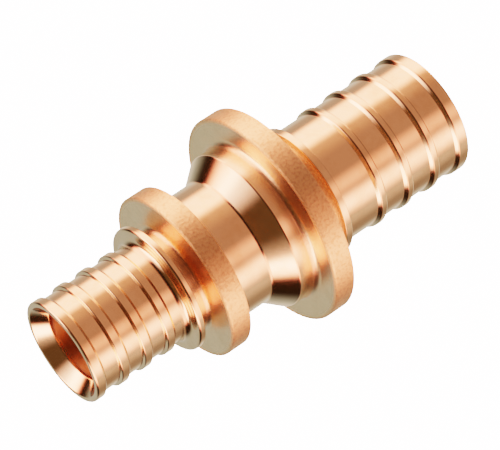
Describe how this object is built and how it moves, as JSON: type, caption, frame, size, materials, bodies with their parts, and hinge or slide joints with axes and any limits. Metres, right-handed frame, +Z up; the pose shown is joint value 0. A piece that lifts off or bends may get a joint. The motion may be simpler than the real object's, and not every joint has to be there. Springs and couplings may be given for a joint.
{
  "type": "pex reducing coupling",
  "caption": "Turned brass coupling that joins plastic pipes of different diameter, with ribbed spigots, stop collars and flanges on a stepped through bore.",
  "frame": {"origin": "centre of the big end's flat face, on which the coupling stands", "axes": "+Z up the bore axis from the big end to the small end; X and Y across it, in any direction because the part is round"},
  "size_m": [0.0351, 0.035, 0.0704],
  "materials": {
    "brass": "turned, with forged flange rims"
  },
  "bodies": {
    "root": {"coupling_body": "brass"}
  },
  "joints": []
}
